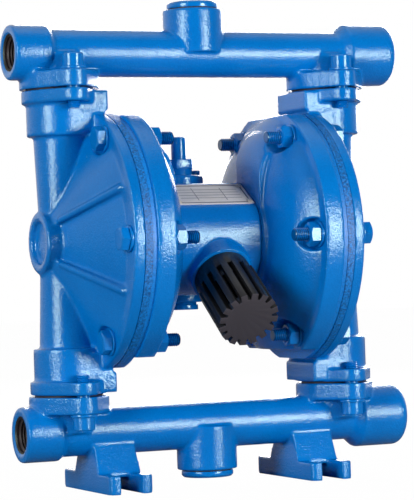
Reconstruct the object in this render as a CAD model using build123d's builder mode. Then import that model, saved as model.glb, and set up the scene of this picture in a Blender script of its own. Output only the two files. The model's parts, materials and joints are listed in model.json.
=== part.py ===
from build123d import *
from math import cos, pi, radians, sin, sqrt
import os

os.makedirs("parts", exist_ok=True)

# Air operated double diaphragm pump with half-inch ports, in millimetres.
# X runs along the manifolds, -Y is the muffler side and Z is up from the floor.
# The origin is on the floor, under the middle of the shaft.

# Main layout
inlet_z = 36.0              # axis of the lower manifold above the floor
column_x = 89.5             # ball columns and manifold joints, from the middle plane
joint_height = 22.8         # from a joint gasket's middle to the axis of its manifold
joint_room = 13.2           # from the rim of a cover to a joint gasket's middle

# Clearances
bolt_gap = 0.4              # radial, bolts in drilled holes
thread_gap = 0.1            # radial, screws in tapped holes
running_gap = 0.05          # radial, pieces that slide in a bore
sliding_gap = 0.3           # between moving pieces and fixed ones
seal_gap = 0.08             # rubber rings from the metal that they seal against
press_gap = 0.05            # pieces pressed into a bore

# Manifolds
tube_r = 14.5
tube_bore_r = 9.3
port_x = 121.6              # threaded port faces
port_boss_r = 16.8
port_boss_length = 22.5
port_thread_r = 10.478      # G 1/2, at its major diameter
port_thread_depth = 18.0
port_mouth_chamfer = 1.6
blind_x = 133.0             # closed ends
blind_boss_r = 19.6
blind_boss_length = 31.0
blind_wall = 12.0
blind_round = 5.0
boss_taper = 6.0
middle_boss_r = 18.6
middle_boss_rise = 27.3     # from the manifold axis
middle_thread_r = 13.2      # G 3/4
saddle_r = 17.0             # neck between a joint flange and the tube
manifold_flange_r = 24.3
manifold_flange_thickness = 10.3
ear_r = 9.0
ear_offset = 25.0           # joint bolts, along Y

# Plugs of the middle bosses
plug_head_r = 16.0
plug_head_height = 3.9
plug_bevel = 1.3
plug_shank_length = 14.0
plug_hex = 14.0
plug_hex_depth = 3.0
plug_seal_height = 0.8
plug_seal_r = 15.2

# Feet
foot_x = 66.3
foot_width = 27.5
foot_length = 82.0
foot_rail = 7.0
foot_height = 11.0
foot_corner = 3.0
foot_bridge = 2.5           # pedestal's web over the channel
pedestal_width = 26.0
pedestal_top_y = 10.0       # at the height of the tube's axis
pedestal_bottom_y = 21.0

# Outer covers, the fluid chambers
cover_r = 79.0
cover_flat_cut = 2.5        # depth of the flats at the top and bottom of the flanges
bolt_edge = 9.0             # bolt axes, from the rim
diaphragm_inner_x = 60.4
diaphragm_outer_x = 67.7
outer_flange_thickness = 6.8
ridge_margin = 8.0          # from the rim to where the raised cone meets the flange
panel_margin = 13.0         # from the rim to where the sunk front panel meets it
hub_x = 106.3
hub_r = 18.6
hub_recess_r = 13.0
hub_recess = 3.5
cone_hub_r = 16.0
ridge_hub_x = 102.5
panel_hub_x = 98.0
panel_half_height = 8.5     # half height of the sunk panel at the hub
panel_angle = 24.5          # spread of its edges, in degrees
chamber_margin = 21.0       # from the rim to the chamber
chamber_hub_r = 12.0
chamber_depth_x = 99.0
neck_r = 15.0
neck_top_r = 16.8
neck_bore_r = 9.0
neck_end = 13.0             # where a neck ends inside the hub, from the shaft axis
socket_r = 20.6
socket_bore_r = 16.0
socket_height = 28.2        # from a socket's foot to the joint gasket's middle
cover_joint_r = 23.2
cover_joint_thickness = 7.9
gusset_half_width = 20.0
gusset_margin = 12.0        # from the rim to the gusset's foot
block_inner_x = 65.7
block_drop = 0.8            # below the joint face
block_half_width = 20.4

# Joint gaskets
joint_gasket = 1.0
joint_gasket_r = 20.6
joint_gasket_bore_r = 13.5

# Ball valves
ball_r = 11.0
ball_lift = 7.0
seat_height = 6.0
seat_bore_r = 8.0
seat_fit = 0.15
flow_slot_width = 6.0
flow_slot_r = 14.5
flow_slot_depth = 6.0
seat_ring_r = 1.0

# Inner covers, the air chambers
inner_flange_x = 48.4       # inboard face of the flange
inner_rim_step = 1.5        # how far the flange stands past the outer cover's
inner_flat_cut = 5.0        # depth of its flat at the top
inner_bottom_cut = 10.2     # and at the bottom
inner_cone_margin = 5.5     # from its rim to the cone
cone_bulge = 4.5
air_chamber_lip = 3.4
air_chamber_margin = 22.0   # from the outer cover's rim to the air chamber
air_chamber_depth_x = 36.0
air_chamber_floor_r = 22.0
hub_collar_r = 36.0
hub_collar_length = 2.5
passage_front_y = -31.0
passage_back_y = 5.0
passage_height = 7.6
passage_start = 4.0         # how far it stands past the collar at the hub
passage_drop = 8.0          # passage's end below the rim of the cone
nut_pocket_r = 9.6

# Centre body
body_half_length = 27.0
body_r = 34.5
body_back_y = 13.0
body_gasket = 0.6
label_tilt = 58.5           # elevation of the label's normal, in degrees
label_offset = 31.4         # label flat from the shaft axis
label_length = 52.0
label_width = 24.0
label_thickness = 0.6
label_corner = 1.0
rivet_r = 1.3
rivet_row_length = 47.0
rivet_row_distance = 19.0
rivet_head_r = 1.8
rivet_head_height = 0.7
rivet_shank = 4.0
muffler_tilt = -35.5        # elevation of the muffler's axis, in degrees
muffler_boss_r = 19.5
muffler_boss_end = 40.0
muffler_thread_r = 10.478   # G 1/2
thread_runout = 1.0

# Shaft and its bearings
shaft_r = 7.0
bush_r = 10.0
bush_length = 13.0
shaft_seal_x = 8.0
shaft_seal_ring_r = 1.3
shaft_bore_r = 7.5
shaft_waist_x = 30.0
shaft_waist_r = 6.0
shaft_waist_width = 3.0
shaft_bevel = 1.0
stud_r = 5.0
clamp_r = 30.0
inner_plate_thickness = 6.0
outer_plate_thickness = 8.0
clamp_fit = 0.3
plate_hole_r = 5.1
plate_bevel = 2.0
outer_plate_slope = 4.0
clamp_nut_af = 17.0
clamp_nut_height = 8.0
stud_reach = 2.5

# Diaphragms
backup_thickness = 2.9
convolution_inner_r = 33.0
convolution_margin = 23.0   # from the rim to the convolution
convolution_rise = 3.0
convolution_gap = 0.1       # between the two discs along the convolution
backup_step = 0.4           # how far the backup's rim stays inside the cover's
diaphragm_hole_r = 5.3

# Cover bolts, M8
bolt_count = 6
bolt_r = 4.0
hex_af = 13.0
head_height = 5.5
nut_height = 6.8
washer_r = 8.0
washer_thickness = 1.6
cover_bolt_length = 45.0

# Joint bolts, M8 socket heads
joint_head_r = 6.5
joint_head_height = 8.0
joint_socket_af = 6.0
joint_socket_depth = 4.0
joint_bolt_length = 25.0

# Inner cover screws, M6
inner_screw_count = 4
inner_screw_circle_r = 28.0
inner_screw_r = 3.0
inner_screw_length = 24.0
inner_screw_reach = 15.4    # depth of its tapped hole
inner_head_r = 5.0
inner_head_height = 6.0
inner_socket_af = 5.0
inner_socket_depth = 3.0

# Muffler
muffler_stub = 13.0
muffler_end = 86.0
muffler_collar_r = 17.6
muffler_collar_length = 10.0
muffler_root_r = 14.6
muffler_tip_r = 18.6
muffler_ribs = 16
muffler_rib_width = 3.9
muffler_bore_r = 8.0
muffler_wall = 5.0
muffler_slot_width = 1.6
muffler_slot_margin = 6.0   # from the ends of the ribs to the slots between them

# Air valve behind the centre body
valve_y = 29.5
valve_column_r = 12.5
valve_top = 41.0            # heights here are from the shaft axis
valve_bottom = -39.2
valve_half_width = 20.0
valve_half_height = 26.0
valve_back_y = 43.0
valve_corner = 4.0
valve_gasket = 0.8
sleeve_r = 8.0
sleeve_bore_r = 5.5
sleeve_half_length = 30.0
sleeve_port_r = 2.0
sleeve_port_pitch = 12.0
spool_half_length = 18.0
spool_waist_r = 3.4
spool_land = 6.0
spool_lands = (-15.0, 0.0, 15.0)
air_port_r = 6.58           # G 1/4
air_port_depth = 11.0
air_boss_r = 11.0
air_boss_length = 6.0
valve_screw_r = 2.5
valve_screw_x = 15.0
valve_screw_z = 20.0
valve_screw_length = 40.0
valve_screw_reach = 10.5    # depth of its tapped hole
valve_head_r = 4.25
valve_head_height = 5.0
valve_socket_af = 4.0
valve_socket_depth = 2.5

# Air galleries in the centre body
gallery_r = 3.5
gallery_x = 8.0
gallery_y = -3.0
gallery_rise = 21.0
exhaust_r = 4.0
exhaust_drop = 17.0
exhaust_y = -24.0

# Valve caps, reset button and its spring
gland_bore_r = 7.0
gland_foot = 31.5
gland_collar_r = 8.2
gland_collar_height = 4.0
gland_af = 17.7
gland_height = 6.0
button_r = 4.7
button_top = 65.4
button_foot = 45.0
button_well_r = 5.0
button_well_foot = 35.0
button_stem_r = 2.4
button_flange_r = 4.0
button_flange = 1.5
button_bevel = 0.8
spring_gap = 0.05
button_spring_r = 4.0
button_spring_wire_r = 0.45
button_spring_turns = 3.5
end_cap_r = 9.2
end_cap_height = 3.3
end_cap_neck_r = 8.3
end_cap_neck = 1.3
end_cap_shank = 8.0
lock_lug_r = 4.5
lock_lug_height = 8.0
lock_screw_r = 1.5
lock_screw_x = 11.4
lock_screw_length = 6.0
lock_head_r = 2.6
lock_head_height = 3.0

# Worked out from the values above
joint_rise = cover_r + joint_room
manifold_rise = joint_rise + joint_height
shaft_z = inlet_z + manifold_rise
outlet_z = shaft_z + manifold_rise
cover_flat = cover_r - cover_flat_cut
bolt_circle_r = cover_r - bolt_edge
ridge_r = cover_r - ridge_margin
panel_r = cover_r - panel_margin
chamber_r = cover_r - chamber_margin
convolution_outer_r = cover_r - convolution_margin
backup_rim_r = cover_r - backup_step
inner_cover_r = cover_r + inner_rim_step
inner_cover_flat = inner_cover_r - inner_flat_cut
inner_bottom_flat = inner_cover_r - inner_bottom_cut
inner_cone_r = inner_cover_r - inner_cone_margin
air_chamber_r = cover_r - air_chamber_margin
socket_foot = joint_rise - socket_height
gusset_foot = cover_r - gusset_margin
block_foot = cover_r
outer_flange_x = diaphragm_outer_x + outer_flange_thickness
joint_half = joint_gasket / 2
ball_contact = sqrt(ball_r**2 - seat_bore_r**2) + seat_fit
stop_contact = sqrt(ball_r**2 - neck_bore_r**2) + sliding_gap
ball_cage = ball_contact + ball_lift + stop_contact
outlet_seat_top = joint_rise + joint_half - ball_cage
inlet_roof = joint_rise + joint_half - ball_cage
seal_major_r = shaft_r + seal_gap + shaft_seal_ring_r
seal_groove_r = seal_major_r + shaft_seal_ring_r + press_gap
sides = {"left": -1, "right": 1}
shaft_axis = Axis((0, 0, shaft_z), (1, 0, 0))
bolt_angles = [60 * i for i in range(bolt_count)]


def section(z=shaft_z):
    """The X-Z plane at a height, where y of a sketch is the radius of what is turned about X."""
    return Plane((0, 0, z), x_dir=(1, 0, 0), z_dir=(0, -1, 0))


def across(x):
    """A plane square to the shaft at a distance x, with sketch x along Y and sketch y up."""
    return Plane((x, 0, shaft_z), x_dir=(0, 1, 0), z_dir=(1, 0, 0))


def level(z, x=0.0, y=0.0):
    """A level plane at a height above the floor."""
    return Plane((x, y, z), x_dir=(1, 0, 0), z_dir=(0, 0, 1))


def radial(elevation, distance):
    """A plane facing away from the shaft on the front side, at an elevation in degrees."""
    a = radians(elevation)
    out = (0, -cos(a), sin(a))
    return Plane((0, distance * out[1], shaft_z + distance * out[2]), x_dir=(1, 0, 0), z_dir=out)


def finish(piece, name):
    """Labels a finished piece and writes its file."""
    piece.label = name
    export_step(piece, f"parts/{name}.step")


def mirrored(piece):
    """The same piece for the left side."""
    with BuildPart() as other:
        mirror(piece, about=Plane.YZ)
    return other.part


def group(solids):
    """Identical pieces that share one node."""
    return Compound(children=list(solids))


def ears_outline(middle_r):
    """The outline of a joint flange: a round middle and an ear at the front and at the back."""
    with BuildSketch(mode=Mode.PRIVATE) as outline:
        Circle(middle_r)
        with Locations((0, ear_offset), (0, -ear_offset)):
            Circle(ear_r)
        make_hull()
    return outline.sketch


# Manifolds

def foot_block(x):
    """A foot under the lower manifold: two rails, open at both ends, under a tapered pedestal."""
    with BuildPart() as block:
        with BuildSketch(level(0, x)):
            Rectangle(foot_width, foot_length)
        extrude(amount=foot_height)
        fillet(block.edges().filter_by(Axis.Z), foot_corner)
        with BuildSketch(level(0, x)):
            Rectangle(foot_width - 2 * foot_rail, foot_length)
        extrude(amount=foot_height, mode=Mode.SUBTRACT)
        with BuildSketch(level(foot_height - foot_bridge, x)):
            Rectangle(foot_width, 2 * pedestal_bottom_y)
        extrude(amount=foot_bridge)
        with BuildSketch(level(foot_height, x)):
            Rectangle(foot_width, 2 * pedestal_bottom_y)
        with BuildSketch(level(inlet_z, x)):
            Rectangle(pedestal_width, 2 * pedestal_top_y)
        loft()
    return block.part


def manifold(axis_z, toward_shaft):
    """A manifold casting. toward_shaft is -1 for the one above the shaft and 1 for the one below."""
    joint_z = shaft_z - toward_shaft * (joint_rise + joint_half)
    middle_top = middle_boss_rise
    outward = -toward_shaft
    taper_port_x = port_x - port_boss_length
    taper_blind_x = blind_x - blind_boss_length
    feet = [foot_block(side * foot_x) for side in sides.values()] if toward_shaft > 0 else []
    with BuildPart() as casting:
        with BuildSketch(section(axis_z)):
            with BuildLine():
                Polyline(
                    (-port_x, 0), (-port_x, port_boss_r), (-taper_port_x, port_boss_r),
                    (-taper_port_x + boss_taper / 2, tube_r), (taper_blind_x - boss_taper, tube_r),
                    (taper_blind_x, blind_boss_r), (blind_x, blind_boss_r), (blind_x, 0), (-port_x, 0),
                )
            make_face()
        revolve(axis=Axis((0, 0, axis_z), (1, 0, 0)))
        fillet(casting.edges().filter_by(GeomType.CIRCLE).sort_by(Axis.X)[-1], blind_round)
        fillet(casting.edges().filter_by(GeomType.CIRCLE).sort_by(Axis.X)[0], port_mouth_chamfer)
        with BuildSketch(level(axis_z)):
            Circle(middle_boss_r)
        extrude(amount=outward * middle_top)
        for side in sides.values():
            with BuildSketch(level(joint_z, side * column_x)):
                add(ears_outline(manifold_flange_r))
            extrude(amount=outward * manifold_flange_thickness)
            with BuildSketch(level(joint_z, side * column_x)):
                Circle(saddle_r)
            extrude(amount=axis_z - joint_z)
        for foot in feet:
            add(foot)
        # the bore along the tube, the threaded port and the middle thread
        with BuildSketch(section(axis_z)):
            with BuildLine():
                Polyline(
                    (-port_x, 0), (-port_x, port_thread_r + port_mouth_chamfer),
                    (-port_x + port_mouth_chamfer, port_thread_r),
                    (-port_x + port_thread_depth, port_thread_r),
                    (-port_x + port_thread_depth, tube_bore_r),
                    (blind_x - blind_wall, tube_bore_r), (blind_x - blind_wall, 0), (-port_x, 0),
                )
            make_face()
        revolve(axis=Axis((0, 0, axis_z), (1, 0, 0)), mode=Mode.SUBTRACT)
        with BuildSketch(level(axis_z)):
            Circle(middle_thread_r)
        extrude(amount=outward * middle_top, mode=Mode.SUBTRACT)
        for side in sides.values():
            with BuildSketch(level(joint_z, side * column_x)):
                Circle(neck_bore_r)
            extrude(amount=axis_z - joint_z, mode=Mode.SUBTRACT)
            if toward_shaft > 0:
                with BuildSketch(level(joint_z, side * column_x)):
                    Circle(socket_bore_r)
                extrude(amount=-seat_height, mode=Mode.SUBTRACT)
            else:
                with BuildSketch(level(joint_z, side * column_x)):
                    flow_slots()
                extrude(amount=flow_slot_depth, mode=Mode.SUBTRACT)
            with BuildSketch(level(joint_z, side * column_x)):
                with Locations((0, ear_offset), (0, -ear_offset)):
                    Circle(bolt_r + bolt_gap)
            extrude(amount=outward * manifold_flange_thickness, mode=Mode.SUBTRACT)
    return casting.part


def flow_slots():
    """Crossed slots that let the liquid past a lifted ball."""
    SlotOverall(2 * flow_slot_r, flow_slot_width)
    SlotOverall(2 * flow_slot_r, flow_slot_width, rotation=90)


finish(manifold(outlet_z, -1), "outlet_manifold")
finish(manifold(inlet_z, 1), "inlet_manifold")


# Plugs of the middle bosses

def boss_plug(axis_z, outward):
    """A flat plug with a hexagon socket, and the ring that seals it."""
    face_z = axis_z + outward * middle_boss_rise
    with BuildPart() as plug:
        with BuildSketch(level(face_z)):
            Circle(middle_thread_r - thread_gap)
        extrude(amount=-outward * plug_shank_length)
        with BuildSketch(level(face_z)):
            Circle(middle_thread_r - thread_gap)
        extrude(amount=outward * plug_seal_height)
        with BuildSketch(level(face_z + outward * plug_seal_height)):
            Circle(plug_head_r)
        extrude(amount=outward * plug_head_height)
        rim = plug.edges().filter_by(GeomType.CIRCLE).sort_by(Axis.Z)
        chamfer(rim[-1] if outward > 0 else rim[0], plug_bevel)
        with BuildSketch(level(face_z + outward * (plug_seal_height + plug_head_height))):
            RegularPolygon(plug_hex / 2, 6, major_radius=False)
        extrude(amount=-outward * plug_hex_depth, mode=Mode.SUBTRACT)
    with BuildPart() as seal:
        with BuildSketch(level(face_z)):
            Circle(plug_seal_r)
            Circle(middle_thread_r, mode=Mode.SUBTRACT)
        extrude(amount=outward * plug_seal_height)
    return plug.part, seal.part


outlet_plug, outlet_plug_seal = boss_plug(outlet_z, 1)
inlet_plug, inlet_plug_seal = boss_plug(inlet_z, -1)
finish(outlet_plug, "outlet_plug")
finish(inlet_plug, "inlet_plug")
finish(group([outlet_plug_seal, inlet_plug_seal]), "plug_seals")


# Outer covers

def cover_outline():
    """A cover flange: a disc with a flat at its top and bottom."""
    with BuildSketch(mode=Mode.PRIVATE) as outline:
        Circle(cover_r)
        Rectangle(2 * cover_r, 2 * cover_flat, mode=Mode.INTERSECT)
    return outline.sketch


def bolt_places():
    """Sketch places of the cover bolts."""
    return [
        (bolt_circle_r * cos(radians(a)), bolt_circle_r * sin(radians(a))) for a in bolt_angles
    ]


with BuildPart() as raised_sectors:
    with BuildSketch(section()):
        with BuildLine():
            Polyline(
                (outer_flange_x, 0), (outer_flange_x, ridge_r), (ridge_hub_x, cone_hub_r),
                (ridge_hub_x, 0), (outer_flange_x, 0),
            )
        make_face()
    revolve(axis=shaft_axis)
    # the front and back panels stay sunk between edges that spread from the hub
    spread = (cover_r - hub_r) * sin(radians(panel_angle)) / cos(radians(panel_angle))
    with BuildSketch(across(outer_flange_x)):
        for way in (-1, 1):
            with BuildLine():
                Polyline(
                    (0, 0), (way * hub_r / 2, panel_half_height),
                    (way * cover_r, panel_half_height + spread),
                    (way * cover_r, -panel_half_height - spread),
                    (way * hub_r / 2, -panel_half_height), (0, 0),
                )
            make_face()
    extrude(amount=hub_x, mode=Mode.SUBTRACT)

with BuildPart() as right_outer_cover:
    with BuildSketch(across(diaphragm_outer_x)):
        add(cover_outline())
    extrude(amount=outer_flange_thickness)
    with BuildSketch(section()):
        with BuildLine():
            Polyline(
                (outer_flange_x, 0), (outer_flange_x, panel_r), (panel_hub_x, cone_hub_r),
                (panel_hub_x, hub_r), (hub_x, hub_r), (hub_x, 0), (outer_flange_x, 0),
            )
        make_face()
    revolve(axis=shaft_axis)
    add(raised_sectors.part)
    for way in (-1, 1):
        with BuildSketch(level(shaft_z + way * neck_end, column_x)):
            Circle(neck_r)
        with BuildSketch(level(shaft_z + way * socket_foot, column_x)):
            Circle(neck_top_r)
        loft()
        with BuildSketch(level(shaft_z + way * socket_foot, column_x)):
            Circle(socket_r)
        extrude(amount=way * (joint_rise - joint_half - socket_foot))
        with BuildSketch(level(shaft_z + way * (joint_rise - joint_half), column_x)):
            add(ears_outline(cover_joint_r))
        extrude(amount=-way * cover_joint_thickness)
        with BuildSketch(level(shaft_z + way * gusset_foot)):
            with Locations(((diaphragm_outer_x + column_x) / 2, 0)):
                Rectangle(column_x - diaphragm_outer_x, 2 * gusset_half_width)
        extrude(amount=way * (block_foot + 1 - gusset_foot))
        with BuildSketch(level(shaft_z + way * block_foot)):
            with Locations(((block_inner_x + column_x) / 2, 0)):
                Rectangle(column_x - block_inner_x, 2 * block_half_width)
        extrude(amount=way * (joint_rise - joint_half - block_drop - block_foot))
    # the chamber, the ball cages and the passages between them
    with BuildSketch(section()):
        with BuildLine():
            Polyline(
                (diaphragm_outer_x, 0), (diaphragm_outer_x, chamber_r),
                (chamber_depth_x, chamber_hub_r), (chamber_depth_x, 0), (diaphragm_outer_x, 0),
            )
        make_face()
    revolve(axis=shaft_axis, mode=Mode.SUBTRACT)
    for way in (-1, 1):
        cage_floor = outlet_seat_top - seat_height if way > 0 else inlet_roof
        with BuildSketch(level(shaft_z + way * (joint_rise - joint_half), column_x)):
            Circle(socket_bore_r)
        extrude(amount=-way * (joint_rise - joint_half - cage_floor), mode=Mode.SUBTRACT)
        with BuildSketch(level(shaft_z + way * cage_floor, column_x)):
            Circle(neck_bore_r)
        extrude(amount=-way * (cage_floor - neck_end), mode=Mode.SUBTRACT)
        with BuildSketch(level(shaft_z + way * joint_rise, column_x)):
            with Locations((0, ear_offset), (0, -ear_offset)):
                Circle(bolt_r + thread_gap)
        extrude(amount=-way * (joint_half + cover_joint_thickness), mode=Mode.SUBTRACT)
    with BuildSketch(level(shaft_z - inlet_roof, column_x)):
        flow_slots()
    extrude(amount=flow_slot_depth, mode=Mode.SUBTRACT)
    with BuildSketch(across(hub_x)):
        Circle(hub_recess_r)
    extrude(amount=-hub_recess, mode=Mode.SUBTRACT)
    with BuildSketch(across(diaphragm_outer_x)):
        with Locations(*bolt_places()):
            Circle(bolt_r + bolt_gap)
    extrude(amount=outer_flange_thickness, mode=Mode.SUBTRACT)
    # flat seats for the washers where the cone reaches over the bolt circle
    with BuildSketch(across(outer_flange_x)):
        with Locations(*bolt_places()):
            Circle(nut_pocket_r)
    extrude(amount=hub_x - outer_flange_x, mode=Mode.SUBTRACT)

finish(right_outer_cover.part, "right_outer_cover")
finish(mirrored(right_outer_cover.part), "left_outer_cover")


# Inner covers

hub_face_x = body_half_length + body_gasket
screw_angles = [25.0, 100.0, -100.0, -40.0]


def screw_places():
    """Sketch places of the inner cover screws, clear of the flat back of the centre body."""
    r = inner_screw_circle_r
    return [(-r * cos(radians(a)), r * sin(radians(a))) for a in screw_angles]


def bulged(start, end):
    """The middle point of a cone's side, raised a little towards the centre body."""
    (start_x, start_r), (end_x, end_r) = start, end
    side_length = sqrt((end_x - start_x) ** 2 + (end_r - start_r) ** 2)
    return (
        (start_x + end_x) / 2 - cone_bulge * (end_r - start_r) / side_length,
        (start_r + end_r) / 2 + cone_bulge * (end_x - start_x) / side_length,
    )


passage_foot = (hub_face_x, hub_collar_r + passage_start)
passage_end = (inner_flange_x - passage_height, inner_cone_r - passage_drop)
cone_foot = (hub_face_x + hub_collar_length, hub_collar_r)
cone_end = (inner_flange_x, inner_cone_r)

with BuildPart() as air_passage:
    with BuildSketch(section()):
        with BuildLine():
            Line((hub_face_x, 0), passage_foot)
            ThreePointArc(passage_foot, bulged(passage_foot, passage_end), passage_end)
            Polyline(
                passage_end, (inner_flange_x, passage_end[1]), (inner_flange_x, 0), (hub_face_x, 0),
            )
        make_face()
    revolve(axis=shaft_axis)
    with BuildSketch(across(hub_face_x)):
        with Locations(((passage_front_y + passage_back_y) / 2, cover_r / 2)):
            Rectangle(passage_back_y - passage_front_y, cover_r)
    extrude(amount=inner_flange_x, mode=Mode.INTERSECT)

with BuildPart() as right_inner_cover:
    with BuildSketch(across(inner_flange_x)):
        Circle(inner_cover_r)
    extrude(amount=diaphragm_inner_x - inner_flange_x)
    with BuildSketch(section()):
        with BuildLine():
            Polyline((hub_face_x, 0), (hub_face_x, hub_collar_r), cone_foot)
            ThreePointArc(cone_foot, bulged(cone_foot, cone_end), cone_end)
            Polyline(
                cone_end, (diaphragm_inner_x, inner_cone_r), (diaphragm_inner_x, 0), (hub_face_x, 0),
            )
        make_face()
    revolve(axis=shaft_axis)
    add(air_passage.part)
    with BuildSketch(across(hub_face_x)):
        with Locations((0, (inner_cover_flat - inner_bottom_flat) / 2)):
            Rectangle(2 * inner_cover_r, inner_cover_flat + inner_bottom_flat)
    extrude(amount=diaphragm_inner_x - hub_face_x, mode=Mode.INTERSECT)
    with BuildSketch(section()):
        with BuildLine():
            Polyline(
                (diaphragm_inner_x, 0), (diaphragm_inner_x, air_chamber_r),
                (diaphragm_inner_x - air_chamber_lip, air_chamber_r),
                (air_chamber_depth_x, air_chamber_floor_r), (air_chamber_depth_x, 0),
                (diaphragm_inner_x, 0),
            )
        make_face()
    revolve(axis=shaft_axis, mode=Mode.SUBTRACT)
    with BuildSketch(across(hub_face_x)):
        Circle(bush_r + sliding_gap)
        with Locations((gallery_y, gallery_rise)):
            Circle(gallery_r)
        with Locations(*screw_places()):
            Circle(inner_screw_r + bolt_gap)
    extrude(amount=air_chamber_depth_x - hub_face_x, mode=Mode.SUBTRACT)
    with BuildSketch(across(air_chamber_depth_x)):
        with Locations(*screw_places()):
            Circle(inner_head_r + bolt_gap)
    extrude(amount=inner_head_height, mode=Mode.SUBTRACT)
    with BuildSketch(across(inner_flange_x)):
        with Locations(*bolt_places()):
            Circle(bolt_r + bolt_gap)
    extrude(amount=diaphragm_inner_x - inner_flange_x, mode=Mode.SUBTRACT)
    with BuildSketch(across(inner_flange_x)):
        with Locations(*bolt_places()):
            Circle(nut_pocket_r)
    extrude(amount=-(inner_flange_x - hub_face_x), mode=Mode.SUBTRACT)

finish(right_inner_cover.part, "right_inner_cover")
finish(mirrored(right_inner_cover.part), "left_inner_cover")


# Diaphragms

def diaphragm(near_x, far_x, near_rise, far_rise, rim_r):
    """A rubber disc with one convolution, clamped at its rim by the cover bolts."""
    middle_r = (convolution_inner_r + convolution_outer_r) / 2
    with BuildPart() as disc:
        with BuildSketch(section()):
            with BuildLine():
                Line((near_x, diaphragm_hole_r), (near_x, convolution_inner_r))
                ThreePointArc(
                    (near_x, convolution_inner_r), (near_x + near_rise, middle_r),
                    (near_x, convolution_outer_r),
                )
                Polyline((near_x, convolution_outer_r), (near_x, rim_r), (far_x, rim_r),
                         (far_x, convolution_outer_r))
                ThreePointArc(
                    (far_x, convolution_outer_r), (far_x + far_rise, middle_r),
                    (far_x, convolution_inner_r),
                )
                Polyline((far_x, convolution_inner_r), (far_x, diaphragm_hole_r),
                         (near_x, diaphragm_hole_r))
            make_face()
        revolve(axis=shaft_axis)
        with BuildSketch(across(near_x)):
            Rectangle(2 * rim_r, 2 * cover_flat)
        extrude(amount=far_x - near_x + convolution_rise, mode=Mode.INTERSECT)
        with BuildSketch(across(near_x)):
            with Locations(*bolt_places()):
                Circle(bolt_r + bolt_gap)
        extrude(amount=far_x - near_x, mode=Mode.SUBTRACT)
    return disc.part


split_x = diaphragm_inner_x + backup_thickness
backup = diaphragm(
    diaphragm_inner_x, split_x, convolution_rise, convolution_rise - convolution_gap, backup_rim_r
)
fluid = diaphragm(split_x, diaphragm_outer_x, convolution_rise, convolution_rise, cover_r)
finish(backup, "right_backup_diaphragm")
finish(mirrored(backup), "left_backup_diaphragm")
finish(fluid, "right_diaphragm")
finish(mirrored(fluid), "left_diaphragm")


# Cover bolts, nuts and washers

def cover_fasteners(side):
    """The bolts, nuts and washers that clamp one side's covers round its diaphragms."""
    head_x = outer_flange_x + washer_thickness
    nut_x = inner_flange_x - washer_thickness
    hexagon = hex_af / 2
    bolts, nuts, washers = [], [], []
    for y, z in bolt_places():
        with BuildPart() as bolt:
            with BuildSketch(across(side * head_x)):
                with Locations((y, z)):
                    RegularPolygon(hexagon, 6, major_radius=False, rotation=90)
            extrude(amount=side * head_height)
            with BuildSketch(across(side * head_x)):
                with Locations((y, z)):
                    Circle(bolt_r)
            extrude(amount=-side * cover_bolt_length)
        bolts.append(bolt.part)
        with BuildPart() as nut:
            with BuildSketch(across(side * nut_x)):
                with Locations((y, z)):
                    RegularPolygon(hexagon, 6, major_radius=False, rotation=90)
                    Circle(bolt_r + thread_gap, mode=Mode.SUBTRACT)
            extrude(amount=-side * nut_height)
        nuts.append(nut.part)
        for face_x, way in ((outer_flange_x, side), (inner_flange_x, -side)):
            with BuildPart() as washer:
                with BuildSketch(across(side * face_x)):
                    with Locations((y, z)):
                        Circle(washer_r)
                        Circle(bolt_r + bolt_gap, mode=Mode.SUBTRACT)
                extrude(amount=way * washer_thickness)
            washers.append(washer.part)
    return bolts, nuts, washers


for side_name, side in sides.items():
    bolts, nuts, washers = cover_fasteners(side)
    finish(group(bolts), f"{side_name}_cover_bolts")
    finish(group(nuts), f"{side_name}_cover_nuts")
    finish(group(washers), f"{side_name}_cover_washers")


# Joint gaskets, bolts and washers between the manifolds and the covers

gaskets, joint_bolts, joint_washers = [], [], []
for way in (-1, 1):
    for side in sides.values():
        with BuildPart() as gasket:
            with BuildSketch(level(shaft_z + way * (joint_rise - joint_half), side * column_x)):
                Circle(joint_gasket_r)
                Circle(joint_gasket_bore_r, mode=Mode.SUBTRACT)
            extrude(amount=way * joint_gasket)
        gaskets.append(gasket.part)
        for y in (-ear_offset, ear_offset):
            seat_z = shaft_z + way * (joint_rise + joint_half + manifold_flange_thickness)
            head_z = seat_z + way * washer_thickness
            with BuildPart() as washer:
                with BuildSketch(level(seat_z, side * column_x, y)):
                    Circle(washer_r)
                    Circle(bolt_r + bolt_gap, mode=Mode.SUBTRACT)
                extrude(amount=way * washer_thickness)
            joint_washers.append(washer.part)
            with BuildPart() as bolt:
                with BuildSketch(level(head_z, side * column_x, y)):
                    Circle(joint_head_r)
                extrude(amount=way * joint_head_height)
                with BuildSketch(level(head_z + way * joint_head_height, side * column_x, y)):
                    RegularPolygon(joint_socket_af / 2, 6, major_radius=False)
                extrude(amount=-way * joint_socket_depth, mode=Mode.SUBTRACT)
                with BuildSketch(level(head_z, side * column_x, y)):
                    Circle(bolt_r)
                extrude(amount=-way * joint_bolt_length)
            joint_bolts.append(bolt.part)
finish(group(gaskets), "manifold_gaskets")
finish(group(joint_bolts), "manifold_bolts")
finish(group(joint_washers), "manifold_washers")


# Ball valves

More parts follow.
